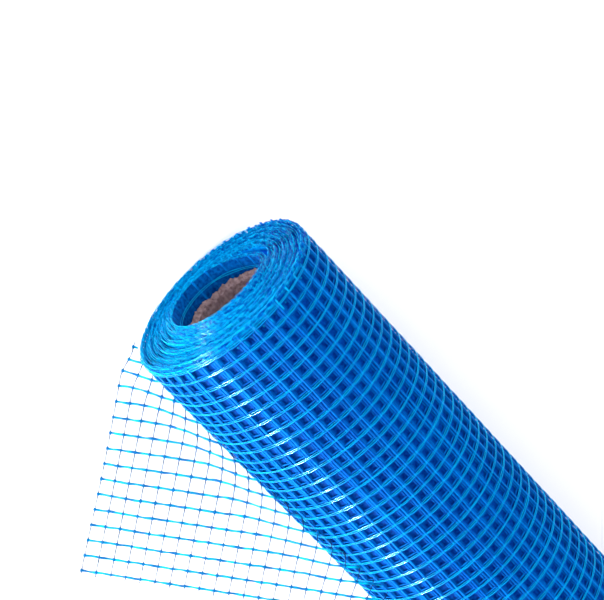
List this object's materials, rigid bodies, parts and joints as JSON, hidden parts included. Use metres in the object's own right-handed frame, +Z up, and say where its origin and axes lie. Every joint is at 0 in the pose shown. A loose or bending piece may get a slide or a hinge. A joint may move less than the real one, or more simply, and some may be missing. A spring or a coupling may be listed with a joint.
{
  "type": "roll of fiberglass mesh",
  "caption": "Wound roll of open-weave coated glass-fibre reinforcing mesh on a recessed cardboard core, lying down, with one corner of its outer turn pulled loose.",
  "frame": {"origin": "under the middle of the bounding box, at floor level", "axes": "+X along the roll's axis from the near end to the far end, +Z up, the loose corner on the -Y side"},
  "size_m": [1, 0.2326, 0.1248],
  "materials": {
    "blue_mesh": "open square mesh of coated glass-fibre yarn, slightly glossy",
    "cardboard": "matt, torn at the near end"
  },
  "bodies": {
    "root": {"mesh_roll": "blue_mesh", "core_tube": "cardboard"}
  },
  "joints": []
}
